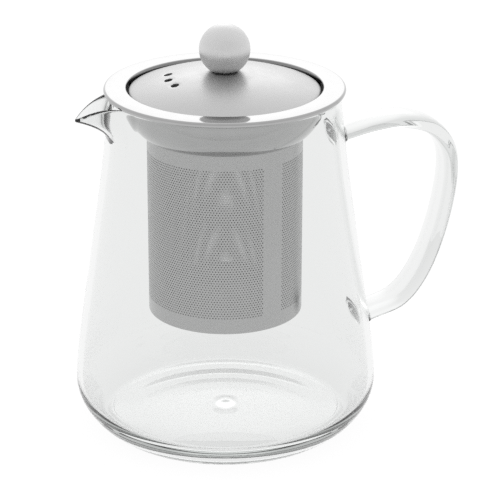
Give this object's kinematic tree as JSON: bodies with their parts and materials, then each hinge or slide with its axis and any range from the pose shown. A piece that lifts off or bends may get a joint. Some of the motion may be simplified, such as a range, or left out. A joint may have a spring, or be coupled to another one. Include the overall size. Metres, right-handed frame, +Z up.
{
  "type": "teapot infuser",
  "caption": "Glass teapot with pulled spout and strap handle, a lift-out perforated steel infuser in a flanged collar, and a domed steel lid with a ball knob.",
  "frame": {"origin": "centre of the jug's flat underside, on the jug's axis", "axes": "+Z up along the jug's axis, +X towards the handle, -X towards the pouring spout"},
  "size_m": [0.1449, 0.1104, 0.1505],
  "materials": {
    "clear_glass": "clear fire-polished borosilicate glass",
    "polished_steel": "mirror-polished stainless steel",
    "perforated_steel": "fine perforated stainless sheet, mill finish",
    "brushed_lid_steel": "softly polished stainless steel",
    "satin_steel": "satin blasted stainless steel",
    "fastener_steel": "plain stainless fastener"
  },
  "bodies": {
    "jug": {"jug_body": "clear_glass", "jug_handle": "clear_glass"},
    "infuser": {"infuser_collar": "polished_steel", "infuser_wall": "perforated_steel", "infuser_base": "perforated_steel"},
    "lid": {"lid_dome": "brushed_lid_steel", "lid_skirt": "polished_steel", "knob_ball": "satin_steel", "knob_bush": "fastener_steel", "knob_washer": "fastener_steel", "knob_screw": "fastener_steel"}
  },
  "joints": [
    {"name": "infuser_lift", "type": "slide", "parent": "jug", "child": "infuser", "axis": [0, 0, 1], "range_m": [0, 0.095]},
    {"name": "lid_lift", "type": "slide", "parent": "infuser", "child": "lid", "axis": [0, 0, 1], "range_m": [0, 0.03]}
  ]
}
